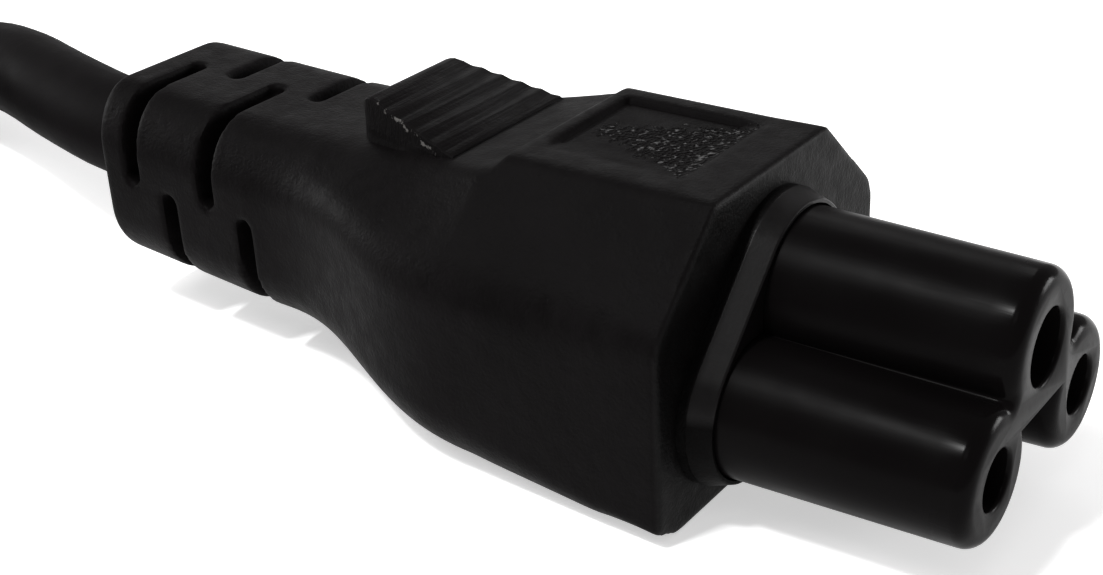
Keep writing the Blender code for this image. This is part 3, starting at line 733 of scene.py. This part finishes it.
def make_tie():
    """A strap round the coil, its free end lapped over its outer side."""
    path, count = tie_path()
    last = len(path) - 1
    profile = ((-1, 0.15), (-0.93, 0), (0.93, 0), (1, 0.15), (1, 0.85), (0.93, 1), (-0.93, 1), (-1, 0.85))
    sections = []
    for i, (radius, height) in enumerate(path):
        ax, az = path[max(i - 2, 0)]
        bx, bz = path[min(i + 2, last)]
        along = Vector((bx - ax, bz - az)).normalized()
        normal = Vector((along.y, -along.x))
        over = TIE_THICKNESS * 1.02 * ease((i - count + 4) / 6)
        # the free end is thinner and narrower
        thick = TIE_THICKNESS * (0.35 + 0.65 * min(1.0, (last - i) / 3))
        taper = TIE_WIDTH / 2 * (0.75 + 0.25 * min(1.0, (last - i) / 4))
        ring = []
        for across, out in profile:
            place = Vector((radius, height)) + normal * (over + out * thick)
            ring.append((COIL_CENTRE[0] - place.x, COIL_CENTRE[1] + across * taper, max(place.y, 0.02)))
        sections.append(ring)
    made = loft("tie_strap", sections)
    made.data.set_sharp_from_angle(angle=math.radians(50))
    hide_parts("coil_tie")
    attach(made, "root")
    return made


# Wall plug


def plug_section(x, width, low, high, rounding):
    """A rectangle with rounded corners across the plug at x."""
    y, half = PLUG_BACK[1], width / 2
    r = min(rounding, half, (high - low) / 2)
    corners = (
        ((y + half - r, high - r), 0.0),
        ((y - half + r, high - r), math.pi / 2),
        ((y - half + r, low + r), math.pi),
        ((y + half - r, low + r), 1.5 * math.pi),
    )
    outline = []
    for centre, start in corners:
        outline += arc(centre, r, start, start + math.pi / 2, 10)
    return at_x(x, outline)


def plug_solid():
    """The plug's body: a round strain relief, a shoulder and a block with an eased face."""
    sections = []
    for i in range(15):
        share = i / 14
        half = blend(PLUG_RELIEF_END, PLUG_RELIEF_ROOT, share) / 2
        x = blend(PLUG_BACK[0], PLUG_ROOT_X, share)
        sections.append(plug_section(x, 2 * half, PLUG_AXIS - half, PLUG_AXIS + half, half))
    round_half = PLUG_RELIEF_ROOT / 2
    shoulder = PLUG_ROOT_X + PLUG_BODY * 0.5
    for i in range(1, 12):
        grown = ease(i / 12)
        x = blend(PLUG_ROOT_X, shoulder, i / 12)
        width = blend(PLUG_RELIEF_ROOT, PLUG_WIDTH, grown)
        low = blend(PLUG_AXIS - round_half, 0.0, grown)
        high = blend(PLUG_AXIS + round_half, PLUG_HEIGHT, grown)
        sections.append(plug_section(x, width, low, high, blend(round_half, PLUG_ROUND, grown)))
    ends = ((4.0, 0.0), (1.2, 0.0), (0.35, 0.25), (0.0, 1.0))
    for x, inset in [(shoulder, 0.0)] + [(PLUG_FACE_X - behind, inset) for behind, inset in ends]:
        sections.append(plug_section(x, PLUG_WIDTH - 2 * inset, inset, PLUG_HEIGHT - inset, PLUG_ROUND))
    return loft("plug_skin", sections)


def plug_slots():
    """Slots on opposite sides of the plug's strain relief, a quarter turn on in every other ring."""
    back, y = PLUG_BACK
    cutters = []
    for ring in range(PLUG_SLOTS):
        x = back + FIRST_PLUG_SLOT + ring * PLUG_SLOT_PITCH
        radius = blend(PLUG_RELIEF_END, PLUG_RELIEF_ROOT, (x - back) / PLUG_RELIEF) / 2
        floor, outer = radius - PLUG_SLOT_DEPTH, radius + 3
        profile = ((floor, -0.55), (floor, 0.55), (outer, 0.7), (outer, -0.7))
        for turn in (0.0, math.pi):
            start = turn + (math.pi / 2 if ring % 2 else 0.0) - 1.1
            rings = [swung(profile, (x, y, PLUG_AXIS), start + 2.2 * i / 20) for i in range(21)]
            cutters.append(loft("plug_slot", rings))
    return cutters


def make_plug():
    """The moulded plug: slotted strain relief, ribbed waist and a flat face for the blades."""
    y = PLUG_BACK[1]
    made = plug_solid()
    cutters = plug_slots()
    for i in range(RIBS):
        x = PLUG_ROOT_X + PLUG_BODY * 0.36 + i * RIB_PITCH
        for sign in (-1, 1):
            low, high = sorted((y + sign * (PLUG_WIDTH / 2 - RIB_DEPTH), y + sign * (PLUG_WIDTH / 2 + 2)))
            top = PLUG_HEIGHT - RIB_MARGIN
            cutters.append(box("rib_cut", (x, low, RIB_MARGIN), (x + RIB_GAP, high, top)))
    for side in (-1, 1):
        middle = y + side * BLADE_SPACING / 2
        low = (PLUG_FACE_X - 3.3, middle - 1.0, BLADE_HEIGHT - 3.4)
        high = (PLUG_FACE_X + 4, middle + 1.0, BLADE_HEIGHT + 3.4)
        cutters.append(box("blade_cut", low, high))
    profile = ((0.0, 4.0), (2.65, 4.0), (2.65, -3.3), (0.0, -3.3))
    cutters.append(turned_x("pin_cut", profile, (PLUG_FACE_X, y, BLADE_HEIGHT + PIN_RISE), 40))
    cut(made, cutters)
    remesh(made, 0.3)
    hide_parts("plug_overmould")
    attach(made, "root")
    return made


def blade_ring(thin, narrow):
    """A blade's outline with small chamfers, about its own middle."""
    y, z = BLADE_THICKNESS / 2 - thin, BLADE_WIDTH / 2 - narrow
    edge = min(0.18, y * 0.6)
    right = [(y - edge, z), (y, z - edge), (y, edge - z), (y - edge, -z)]
    return right + [(-across, -up) for across, up in right]


def blade_hole(middle):
    shape = bmesh.new()
    radius = BLADE_HOLE * MM
    bmesh.ops.create_cone(shape, cap_ends=True, segments=32, radius1=radius, radius2=radius, depth=8 * MM)
    place = Matrix.Translation(Vector((PLUG_FACE_X + BLADE_HOLE_PLACE, middle, BLADE_HEIGHT)) * MM)
    bmesh.ops.transform(shape, matrix=place @ Matrix.Rotation(math.pi / 2, 4, "X"), verts=shape.verts)
    return finished("blade_hole", shape)


def make_blades():
    """Flat blades with chamfered tips and their holes, and a domed ground pin."""
    y = PLUG_BACK[1]
    # distance from the plug's face, and how much thinner and narrower the blade is there
    tip = ((16.6, 0.0, 0.0), (17.3, 0.12, 0.35), (17.75, 0.32, 0.8), (17.9, 0.5, 1.15))
    made = []
    for name, side in (("blade_line", 1), ("blade_neutral", -1)):
        middle = y + side * BLADE_SPACING / 2
        sections = []
        for along, thin, narrow in ((-BLADE_ROOT, 0.0, 0.0),) + tip:
            ring = [(middle + a, BLADE_HEIGHT + b) for a, b in blade_ring(thin, narrow)]
            sections.append(at_x(PLUG_FACE_X + along, ring))
        blade = loft(name + "_plated", sections)
        cut(blade, [blade_hole(middle)])
        crease_over(blade, 30)
        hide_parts(name)
        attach(blade, "root")
        made.append(blade)
    profile = [(0.0, PIN_STRAIGHT + PIN_RADIUS)]
    for i in range(1, 13):
        angle = i / 12 * math.pi / 2
        profile.append((PIN_RADIUS * math.sin(angle), PIN_STRAIGHT + PIN_RADIUS * math.cos(angle)))
    profile += [(PIN_RADIUS, PIN_STRAIGHT - 2 * i) for i in range(1, 11)]
    profile += [(PIN_RADIUS, -BLADE_ROOT), (0.0, -BLADE_ROOT)]
    pin = turned_x("ground_pin_plated", profile, (PLUG_FACE_X, y, BLADE_HEIGHT + PIN_RISE), 48)
    pin.data.set_sharp_from_angle(angle=math.radians(40))
    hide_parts("ground_pin")
    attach(pin, "root")
    return made + [pin]


# Materials: colours as red, green and blue, dark and light where there are two

OVERMOULD_COLOURS = ((0.0023, 0.0019, 0.002), (0.0041, 0.0035, 0.0037))
NOSE_COLOURS = ((0.0022, 0.0018, 0.0019), (0.0036, 0.0031, 0.0032))
CORD_COLOURS = ((0.0036, 0.0031, 0.0033), (0.006, 0.0053, 0.0056))
PLUG_COLOURS = ((0.008, 0.0074, 0.0076), (0.013, 0.012, 0.0123))
STRAP_COLOURS = ((0.006, 0.006, 0.007), (0.02, 0.02, 0.021))
NICKEL, BRASS = (0.6, 0.585, 0.54), (0.56, 0.41, 0.16)
# the flash colour is painted lighter as the glints on the grip's torn edge; the front colour is painted
# shade on the front face and the collar's lower bend
SPECK, FLASH_AND_GLINT, FRONT_PAINTED_SHADE = (0.05, 0.048, 0.045), (0.1, 0.096, 0.092), (0.0014, 0.0012, 0.0012)
OVERMOULD_GLOSS, FACE_GLOSS, WORN_GLOSS, RECESS_DULL = 0.03, 0.034, 0.11, 0.012
PVC_ROUGH = (0.46, 0.58)

# The torn flash along the near upper edge of the grip, painted lighter as its glints, runs between these
# places

FLASH_AND_GLINT_START = Vector((FACE_X - 22.6, -3.66, 16.72))
FLASH_AND_GLINT_END = Vector((FACE_X - 17.6, -4.7, 15.03))


class Nodes:
    """A short way to add and link shader nodes."""

    def __init__(self, name):
        self.material = bpy.data.materials.new(name)
        self.material.use_nodes = True
        self.tree = self.material.node_tree
        self.shader = self.tree.nodes["Principled BSDF"]
        self.place = self.add("ShaderNodeTexCoord").outputs["Object"]

    def feed(self, socket, value):
        """Links a node's result to a socket, or sets the socket to a constant."""
        if isinstance(value, bpy.types.NodeSocket):
            self.tree.links.new(value, socket)
        else:
            socket.default_value = value

    def add(self, kind, inputs=None, **settings):
        """Adds a node; its inputs are given by name or number."""
        node = self.tree.nodes.new(kind)
        for key, value in settings.items():
            setattr(node, key, value)
        for key, value in (inputs or {}).items():
            self.feed(node.inputs[key], value)
        return node

    def shade(self, name, value):
        """Feeds one of the shader's inputs."""
        self.feed(self.shader.inputs[name], value)

    def source(self, name):
        """What feeds one of the shader's inputs so far."""
        return self.shader.inputs[name].links[0].from_socket

    def noise(self, scale, detail=3.0, rough=0.5, stretch=None):
        place = self.place
        if stretch:
            place = self.add("ShaderNodeMapping", {"Scale": stretch, "Vector": place}).outputs["Vector"]
        inputs = {"Scale": scale, "Detail": detail, "Roughness": rough, "Vector": place}
        return self.add("ShaderNodeTexNoise", inputs).outputs["Fac"]

    def cells(self, scale):
        return self.add("ShaderNodeTexVoronoi", {"Scale": scale, "Vector": self.place}).outputs["Distance"]

    def axis(self, name):
        return self.add("ShaderNodeSeparateXYZ", {0: self.place}).outputs[name]

    def spread(self, value, low, high, out_low=0.0, out_high=1.0):
        inputs = {"Value": value, "From Min": low, "From Max": high, "To Min": out_low, "To Max": out_high}
        return self.add("ShaderNodeMapRange", inputs).outputs["Result"]

    def ramp(self, value, low, high, out_low=0.0, out_high=1.0):
        """Like spread, between two values in millimetres."""
        return self.spread(value, low * MM, high * MM, out_low, out_high)

    def within(self, value, low, high, soft):
        """A mask that is 1 between two millimetre values and runs out over a soft margin."""
        return self.times(self.ramp(value, low - soft, low), self.ramp(value, high, high + soft, 1.0, 0.0))

    def maths(self, operation, *values):
        return self.add("ShaderNodeMath", dict(enumerate(values)), operation=operation).outputs[0]

    def times(self, first, *others):
        for other in others:
            first = self.maths("MULTIPLY", first, other)
        return first

    def plus(self, first, *others):
        for other in others:
            first = self.maths("ADD", first, other)
        return first

    def minus(self, first, second):
        return self.maths("SUBTRACT", first, second)

    def vector(self, operation, *values):
        node = self.add("ShaderNodeVectorMath", dict(enumerate(values)), operation=operation)
        return node.outputs["Value" if operation == "LENGTH" else "Vector"]

    def mix(self, share, *colours):
        """Mixes two colours; a mix node takes colours at its inputs 6 and 7."""
        first, second = ((*colour, 1.0) if isinstance(colour, tuple) else colour for colour in colours)
        return self.add("ShaderNodeMix", {0: share, 6: first, 7: second}, data_type="RGBA").outputs[2]

    def bump(self, height, distance, strength=1.0, below=None):
        inputs = {"Height": height, "Distance": distance, "Strength": strength}
        if below is not None:
            inputs["Normal"] = below
        return self.add("ShaderNodeBump", inputs).outputs["Normal"]


def pvc(name, colours, specular, grain=1.0):
    """Black moulded PVC: fine grain, slow mottling and a few pale specks."""
    made = Nodes(name)
    mottle = made.noise(160, 4.0, 0.6)
    cloud = made.noise(900, 3.0, 0.55)
    colour = made.mix(made.spread(made.times(mottle, cloud), 0.12, 0.4), *colours)
    specks = made.spread(made.cells(1500), 0.0, 0.045, 1.0, 0.0)
    chance = made.spread(made.noise(420, 2.0), 0.62, 0.7)
    made.shade("Base Color", made.mix(made.times(specks, chance), colour, SPECK))
    made.shade("Roughness", made.spread(cloud, 0.3, 0.7, *PVC_ROUGH))
    made.shade("Specular IOR Level", specular)
    normal = made.bump(made.noise(5200, 3.0, 0.6), 0.00003 * grain, 0.7)
    normal = made.bump(cloud, 0.00006 * grain, 0.55, normal)
    made.shade("Normal", made.bump(mottle, 0.0002, 0.25, normal))
    return made


def hard_plastic():
    """The nose's hard plastic: smoother, with faint moulding waves and fine scratches along it."""
    made = Nodes("insert_hard")
    wave = made.noise(220, 2.0, 0.5)
    scratch = made.noise(2600, 3.0, 0.7, stretch=(0.06, 1.0, 1.0))
    made.shade("Base Color", made.mix(wave, *NOSE_COLOURS))
    rough = made.plus(made.spread(wave, 0.3, 0.7, 0.28, 0.36), made.spread(scratch, 0.5, 0.8, 0.0, 0.09))
    # the rounded front edge is polished
    x = made.axis("X")
    rim = made.ramp(x, TIP_X - NOSE_RIM - 1.1, TIP_X - NOSE_RIM + 0.1)
    rim = made.times(rim, made.ramp(x, TIP_X - 0.2, TIP_X - 0.04, 1.0, 0.0))
    made.shade("Roughness", made.minus(rough, made.times(rim, 0.17)))
    made.shade("Specular IOR Level", 0.026)
    normal = made.bump(wave, 0.00025, 0.3)
    made.shade("Normal", made.bump(scratch, 0.00001, 0.35, normal))
    return made.material


def jacket():
    """The cord's jacket: satin PVC with fine grain and soft mottling."""
    made = Nodes("cord_satin")
    mottle = made.noise(300, 4.0, 0.6)
    fine = made.noise(3800, 3.0, 0.6)
    made.shade("Base Color", made.mix(made.spread(mottle, 0.3, 0.7), *CORD_COLOURS))
    made.shade("Roughness", made.spread(mottle, 0.3, 0.7, 0.55, 0.68))
    made.shade("Specular IOR Level", 0.018)
    normal = made.bump(fine, 0.00003, 0.5)
    made.shade("Normal", made.bump(mottle, 0.00015, 0.3, normal))
    return made.material


def strap():
    """A woven strap with a little fuzz."""
    made = Nodes("strap_weave")
    weave = made.cells(2300)
    fuzz = made.noise(4500, 4.0, 0.7)
    made.shade("Base Color", made.mix(made.spread(weave, 0.0, 0.7), *STRAP_COLOURS))
    made.shade("Roughness", made.spread(fuzz, 0.3, 0.7, 0.75, 0.95))
    made.shade("Specular IOR Level", 0.2)
    normal = made.bump(weave, 0.00025, 0.8)
    made.shade("Normal", made.bump(fuzz, 0.00008, 0.6, normal))
    return made.material


def metal(name, colour, low, high):
    """Plated or stamped metal with fine drawing lines and dull patches."""
    made = Nodes(name)
    lines = made.noise(2400, 3.0, 0.7, stretch=(0.08, 1.0, 1.0))
    patch = made.noise(350, 3.0, 0.6)
    shade = tuple(value * 0.72 for value in colour)
    made.shade("Base Color", made.mix(made.spread(patch, 0.35, 0.7), colour, shade))
    made.shade("Metallic", 1.0)
    rough = made.plus(made.spread(patch, 0.3, 0.7, low, high), made.spread(lines, 0.4, 0.8, 0.0, 0.1))
    made.shade("Roughness", rough)
    made.shade("Normal", made.bump(lines, 0.00001, 0.4))
    return made.material


def stipple_mask(made, x, y, z):
    """A wedge in the recess on the pad, broken up at its border."""
    spread_out = made.times(made.minus(x, 3.2 * MM), 0.43)
    beside = made.minus(made.maths("ABSOLUTE", made.minus(y, 0.3 * MM)), spread_out)
    ragged = made.plus(beside, made.spread(made.noise(1500, 3.0, 0.7), 0.3, 0.7, -0.9 * MM, 0.9 * MM))
    wedge = made.ramp(ragged, -0.25, 0.15, 1.0, 0.0)
    return made.times(wedge, made.within(x, 4.3, 11.0, 0.5), made.within(z, 15.7, 16.6, 0.1))


def flash_and_glint_mask(made, x):
    """A ragged line along the near upper edge of the grip, where the torn flash is painted lighter as its
    glints.
    """
    offset = made.vector("SUBTRACT", made.place, tuple(FLASH_AND_GLINT_START * MM))
    along = tuple((FLASH_AND_GLINT_END - FLASH_AND_GLINT_START).normalized())
    away = made.vector("LENGTH", made.vector("CROSS_PRODUCT", offset, along))
    torn = made.spread(made.noise(2100, 3.0, 0.7), 0.45, 0.62, -0.08 * MM, 0.2 * MM)
    line = made.ramp(made.minus(away, torn), -0.03, 0.03, 1.0, 0.0)
    return made.times(line, made.within(x, FACE_X - 22.4, FACE_X - 17.6, 0.3))


def overmould_material():
    """The overmould's PVC, with its glossier front and collar, stippled recess and the grip's torn edge; the
    front face and the collar's lower bend are painted darker as shade, and the torn edge is painted lighter
    as glints.
    """
    made = pvc("overmould_grain", OVERMOULD_COLOURS, OVERMOULD_GLOSS, 1.5)
    x, y, z = (made.axis(name) for name in "XYZ")
    on_collar = made.ramp(x, FACE_X + 0.5, FACE_X + COLLAR_STEP)
    face = made.ramp(x, FACE_X - 0.2, FACE_X + 0.02, 0.0, FACE_GLOSS)
    face = made.times(face, made.minus(1.0, on_collar))
    # the collar is worn shiny on its straight flanks
    worn = made.times(on_collar, made.ramp(z, 6.4, 7.0))
    made.shade("Roughness", made.minus(made.source("Roughness"), made.times(worn, 0.13)))
    recess = made.times(made.within(x, 2.7, 11.6, 0.3), made.within(y, -3.4, 4.1, 0.3))
    recess = made.times(recess, made.within(z, 15.7, 16.15, 0.1))
    gloss = made.plus(face, made.times(worn, WORN_GLOSS), OVERMOULD_GLOSS)
    gloss = made.minus(gloss, made.times(recess, RECESS_DULL))
    wedge = stipple_mask(made, x, y, z)
    sparkle = made.times(made.spread(made.noise(3200, 2.0), 0.58, 0.7, 0.0, 0.8), wedge)
    made.shade("Specular IOR Level", made.plus(gloss, sparkle))

    # painted shade: the front face and the collar below its shiny flanks are painted darker; the torn flash
    # on the grip is painted lighter as its glints
    flash_and_glint = flash_and_glint_mask(made, x)
    front = made.ramp(x, FACE_X + 0.02, FACE_X + 0.09)
    front = made.times(front, made.minus(1.0, worn))
    colour = made.mix(front, made.source("Base Color"), FRONT_PAINTED_SHADE)
    made.shade("Base Color", made.mix(flash_and_glint, colour, FLASH_AND_GLINT))

    # stipple, fine streaks across the grip and the flash stand out of the grain
    streaks = made.noise(3600, 3.0, 0.6, stretch=(1.0, 0.04, 0.3))
    streaks = made.times(streaks, made.within(x, FACE_X - GRIP_BACK, FACE_X - GRIP_FRONT, 0.1))
    streaks = made.times(streaks, made.within(y, -5.0, 5.0, 0.1), made.within(z, 14.9, 17.0, 0.3))
    normal = made.bump(made.times(made.cells(4400), wedge), 0.00022, 1.0, made.source("Normal"))
    normal = made.bump(streaks, 0.00008, 0.8, normal)
    normal = made.bump(flash_and_glint, 0.0001, 1.0, normal)
    # wear takes most of the grain off the collar; a mix node takes vectors at its inputs 4 and 5
    plain = made.add("ShaderNodeNewGeometry").outputs["Normal"]
    mixed = made.add("ShaderNodeMix", {0: made.times(worn, 0.8), 4: normal, 5: plain}, data_type="VECTOR")
    made.shade("Normal", mixed.outputs[1])
    return made.material


def give(made, material):
    made.data.materials.clear()
    made.data.materials.append(material)


# Stage

WHITE, FLOOR_GREY, SKY = (1.0, 1.0, 1.0, 1.0), (0.92, 0.92, 0.92, 1.0), (1.0, 0.98, 0.985, 1.0)
FLOOR_DROP, FLOOR_GLOW, SKY_STRENGTH = 0.00002, 0.5, 0.36

# Each lamp's name, place, target, size and power, in metres and watts

LAMPS = (
    ("key", (0.5, 0.6, 0.16), (0.01, 0.0, 0.01), (0.25, 0.2), 3.1),
    ("back", (-0.6, 0.66, 0.3), (0.0, 0.0, 0.01), (0.5, 0.3), 0.6),
    ("far", (-0.33, 0.62, 0.56), (0.0, 0.0, 0.01), (0.4, 0.3), 0.7),
    ("left", (-0.75, -0.1, 0.12), (-0.01, 0.0, 0.01), (0.3, 0.15), 2.2),
    ("over", (-0.3, -0.32, 0.68), (0.0, 0.0, 0.01), (0.35, 0.35), 1.75),
    ("glint", (-0.132, -0.325, 0.723), (0.028, -0.005, 0.011), (0.07, 0.07), 3.2),
    ("collar", (0.184, -0.451, 0.759), (0.015, -0.005, 0.012), (0.25, 0.25), 0.28),
)


def make_floor():
    shape = bmesh.new()
    bmesh.ops.create_grid(shape, x_segments=1, y_segments=1, size=3.0)
    floor = finished("floor", shape)
    floor.location.z = -FLOOR_DROP
    made = Nodes("floor_white")
    made.shade("Base Color", FLOOR_GREY)
    made.shade("Roughness", 0.8)
    made.shade("Specular IOR Level", 0.1)
    made.shade("Emission Color", WHITE)
    made.shade("Emission Strength", FLOOR_GLOW)
    give(floor, made.material)


def make_lamp(name, place, target, size, power):
    data = bpy.data.lights.new(name, "AREA")
    data.shape = "RECTANGLE"
    data.size, data.size_y = size
    data.energy = power
    made = bpy.data.objects.new(name, data)
    scene.collection.objects.link(made)
    made.location = place
    made.rotation_euler = (Vector(target) - Vector(place)).to_track_quat("-Z", "Y").to_euler()


def make_light():
    scene.view_settings.view_transform = "Standard"
    world = bpy.data.worlds.new("studio")
    scene.world = world
    world.use_nodes = True
    sky = world.node_tree.nodes["Background"]
    sky.inputs["Color"].default_value = SKY
    sky.inputs["Strength"].default_value = SKY_STRENGTH
    for lamp in LAMPS:
        make_lamp(*lamp)


def main():
    make_camera()
    cord, length = make_cord()
    overmould = make_overmould()
    nose = make_insert()
    tie = make_tie()
    plug = make_plug()
    blades = make_blades()
    give(cord, jacket())
    give(overmould, overmould_material())
    give(nose, hard_plastic())
    give(tie, strap())
    give(plug, pvc("plug_grain", PLUG_COLOURS, 0.1).material)
    nickel = metal("nickel_plate", NICKEL, 0.2, 0.32)
    for blade in blades:
        give(blade, nickel)
    brass = metal("brass_sleeve", BRASS, 0.3, 0.45)
    for name in ("contact_earth", "contact_line", "contact_neutral"):
        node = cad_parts[name]
        for holder in node.material_slots:
            holder.material = brass
    make_floor()
    make_light()


main()

bpy.context.view_layer.update()
